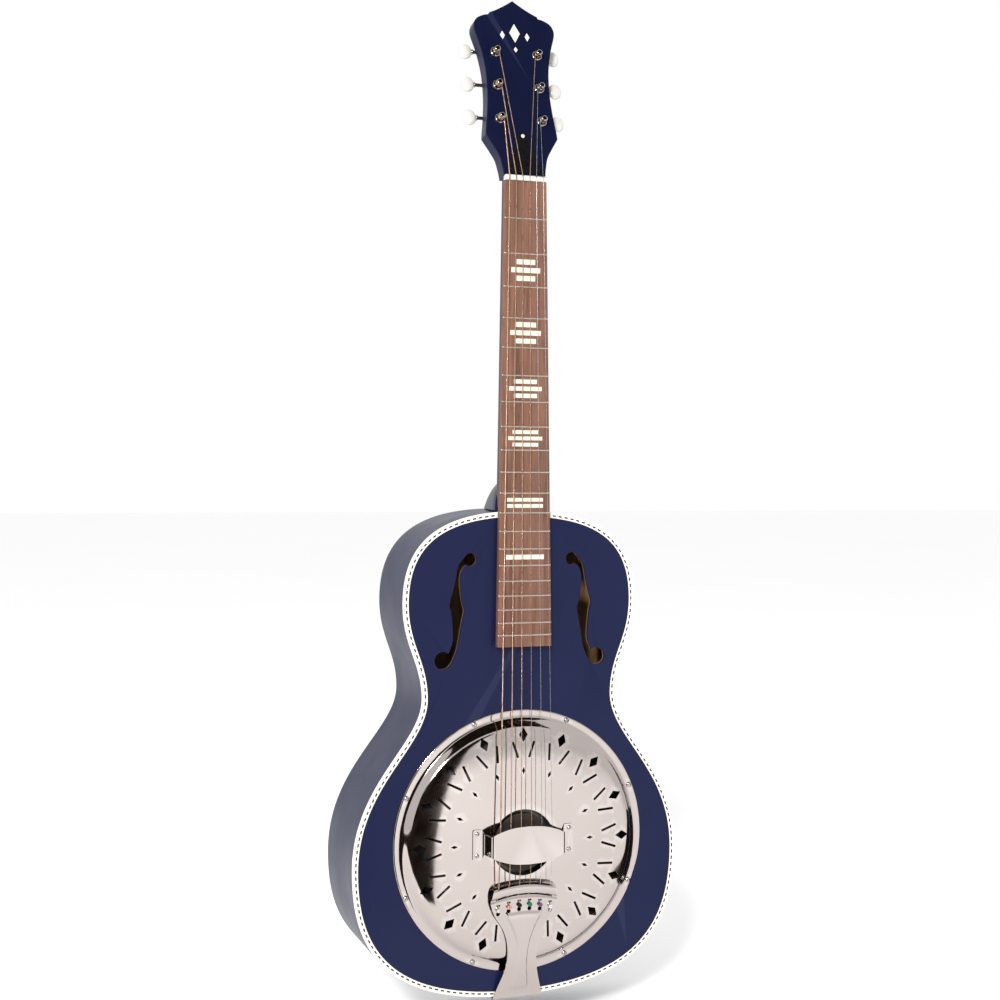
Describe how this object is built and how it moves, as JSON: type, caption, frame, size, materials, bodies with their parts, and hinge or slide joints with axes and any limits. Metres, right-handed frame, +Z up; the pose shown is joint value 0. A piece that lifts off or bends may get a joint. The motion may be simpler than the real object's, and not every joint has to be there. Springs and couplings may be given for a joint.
{
  "type": "resonator guitar",
  "caption": "Round-neck resonator guitar with a hollow wooden body, spun cone under a perforated metal cover, tailpiece, strings and geared tuners.",
  "frame": {"origin": "on the centre plane, at the nut's front edge along Z and level with the soundboard's face along Y", "axes": "+Z up the neck towards the headstock, +Y towards the guitar's back, +X towards the treble strings' side"},
  "size_m": [0.3374, 0.1365, 0.9984],
  "materials": {
    "blue_lacquer": "satin navy-blue lacquer over wood",
    "binding": "cream, lightly polished",
    "raw_wood": "bare, unfinished",
    "maple": "bare, sanded",
    "rosewood": "oiled, open grain",
    "bone": "smooth, off-white",
    "aluminium": "spun, fine rings",
    "nickel": "nickel plate, mirror with slight haze",
    "black_plastic": "glossy black",
    "steel": "bright",
    "bronze": "wound bronze",
    "ivory": "cream-white, glossy"
  },
  "bodies": {
    "guitar": {"soundboard": "blue_lacquer", "rim": "blue_lacquer", "back": "blue_lacquer", "neck": "blue_lacquer", "binding": "binding", "neck_block": "raw_wood", "tail_block": "raw_wood", "soundwell": "raw_wood", "biscuit": "maple", "saddle": "maple", "fingerboard": "rosewood", "nut": "bone", "cone": "aluminium", "coverplate": "nickel", "handrest": "nickel", "tailpiece": "nickel", "tuner_plate_bass": "nickel", "tuner_plate_treble": "nickel", "cover_screw_1": "nickel", "cover_screw_2": "nickel", "cover_screw_3": "nickel", "cover_screw_4": "nickel", "cover_screw_5": "nickel", "cover_screw_6": "nickel", "cover_screw_7": "nickel", "cover_screw_8": "nickel", "bushing_bass_1": "nickel", "bushing_bass_2": "nickel", "bushing_bass_3": "nickel", "bushing_treble_1": "nickel", "bushing_treble_2": "nickel", "bushing_treble_3": "nickel", "truss_rod_cover": "black_plastic", "end_pin": "black_plastic", "truss_rod": "steel", "string_2_b": "steel", "string_1_high_e": "steel", "string_6_low_e": "bronze", "string_5_a": "bronze", "string_4_d": "bronze", "string_3_g": "bronze"},
    "tuner_bass_1": {"worm_shaft_bass_1": "steel", "button_bass_1": "ivory"},
    "post_bass_1": {"post_bass_1": "nickel"},
    "tuner_bass_2": {"worm_shaft_bass_2": "steel", "button_bass_2": "ivory"},
    "post_bass_2": {"post_bass_2": "nickel"},
    "tuner_bass_3": {"worm_shaft_bass_3": "steel", "button_bass_3": "ivory"},
    "post_bass_3": {"post_bass_3": "nickel"},
    "tuner_treble_1": {"worm_shaft_treble_1": "steel", "button_treble_1": "ivory"},
    "post_treble_1": {"post_treble_1": "nickel"},
    "tuner_treble_2": {"worm_shaft_treble_2": "steel", "button_treble_2": "ivory"},
    "post_treble_2": {"post_treble_2": "nickel"},
    "tuner_treble_3": {"worm_shaft_treble_3": "steel", "button_treble_3": "ivory"},
    "post_treble_3": {"post_treble_3": "nickel"}
  },
  "joints": [
    {"name": "tuner_bass_1_turn", "type": "hinge", "parent": "guitar", "child": "tuner_bass_1", "pos_m": [-0.0219, 0.03506, 0.06571], "axis": [1, 0, 0], "continuous": true},
    {"name": "post_bass_1_turn", "type": "hinge", "parent": "guitar", "child": "post_bass_1", "pos_m": [-0.0219, 0.01354, 0.06227], "axis": [0, 0.9744, -0.225], "continuous": true},
    {"name": "tuner_bass_2_turn", "type": "hinge", "parent": "guitar", "child": "tuner_bass_2", "pos_m": [-0.0219, 0.04294, 0.09981], "axis": [1, 0, 0], "continuous": true},
    {"name": "post_bass_2_turn", "type": "hinge", "parent": "guitar", "child": "post_bass_2", "pos_m": [-0.0219, 0.02141, 0.09637], "axis": [0, 0.9744, -0.225], "continuous": true},
    {"name": "tuner_bass_3_turn", "type": "hinge", "parent": "guitar", "child": "tuner_bass_3", "pos_m": [-0.0219, 0.05081, 0.13392], "axis": [1, 0, 0], "continuous": true},
    {"name": "post_bass_3_turn", "type": "hinge", "parent": "guitar", "child": "post_bass_3", "pos_m": [-0.0219, 0.02928, 0.13047], "axis": [0, 0.9744, -0.225], "continuous": true},
    {"name": "tuner_treble_1_turn", "type": "hinge", "parent": "guitar", "child": "tuner_treble_1", "pos_m": [0.0219, 0.03506, 0.06571], "axis": [1, 0, 0], "continuous": true},
    {"name": "post_treble_1_turn", "type": "hinge", "parent": "guitar", "child": "post_treble_1", "pos_m": [0.0219, 0.01354, 0.06227], "axis": [0, 0.9744, -0.225], "continuous": true},
    {"name": "tuner_treble_2_turn", "type": "hinge", "parent": "guitar", "child": "tuner_treble_2", "pos_m": [0.0219, 0.04294, 0.09981], "axis": [1, 0, 0], "continuous": true},
    {"name": "post_treble_2_turn", "type": "hinge", "parent": "guitar", "child": "post_treble_2", "pos_m": [0.0219, 0.02141, 0.09637], "axis": [0, 0.9744, -0.225], "continuous": true},
    {"name": "tuner_treble_3_turn", "type": "hinge", "parent": "guitar", "child": "tuner_treble_3", "pos_m": [0.0219, 0.05081, 0.13392], "axis": [1, 0, 0], "continuous": true},
    {"name": "post_treble_3_turn", "type": "hinge", "parent": "guitar", "child": "post_treble_3", "pos_m": [0.0219, 0.02928, 0.13047], "axis": [0, 0.9744, -0.225], "continuous": true}
  ],
  "couplings": [
    {"joint": "post_bass_1_turn", "follows": "tuner_bass_1_turn", "ratio": 0.071429},
    {"joint": "post_bass_2_turn", "follows": "tuner_bass_2_turn", "ratio": 0.071429},
    {"joint": "post_bass_3_turn", "follows": "tuner_bass_3_turn", "ratio": 0.071429},
    {"joint": "post_treble_1_turn", "follows": "tuner_treble_1_turn", "ratio": 0.071429},
    {"joint": "post_treble_2_turn", "follows": "tuner_treble_2_turn", "ratio": 0.071429},
    {"joint": "post_treble_3_turn", "follows": "tuner_treble_3_turn", "ratio": 0.071429}
  ]
}
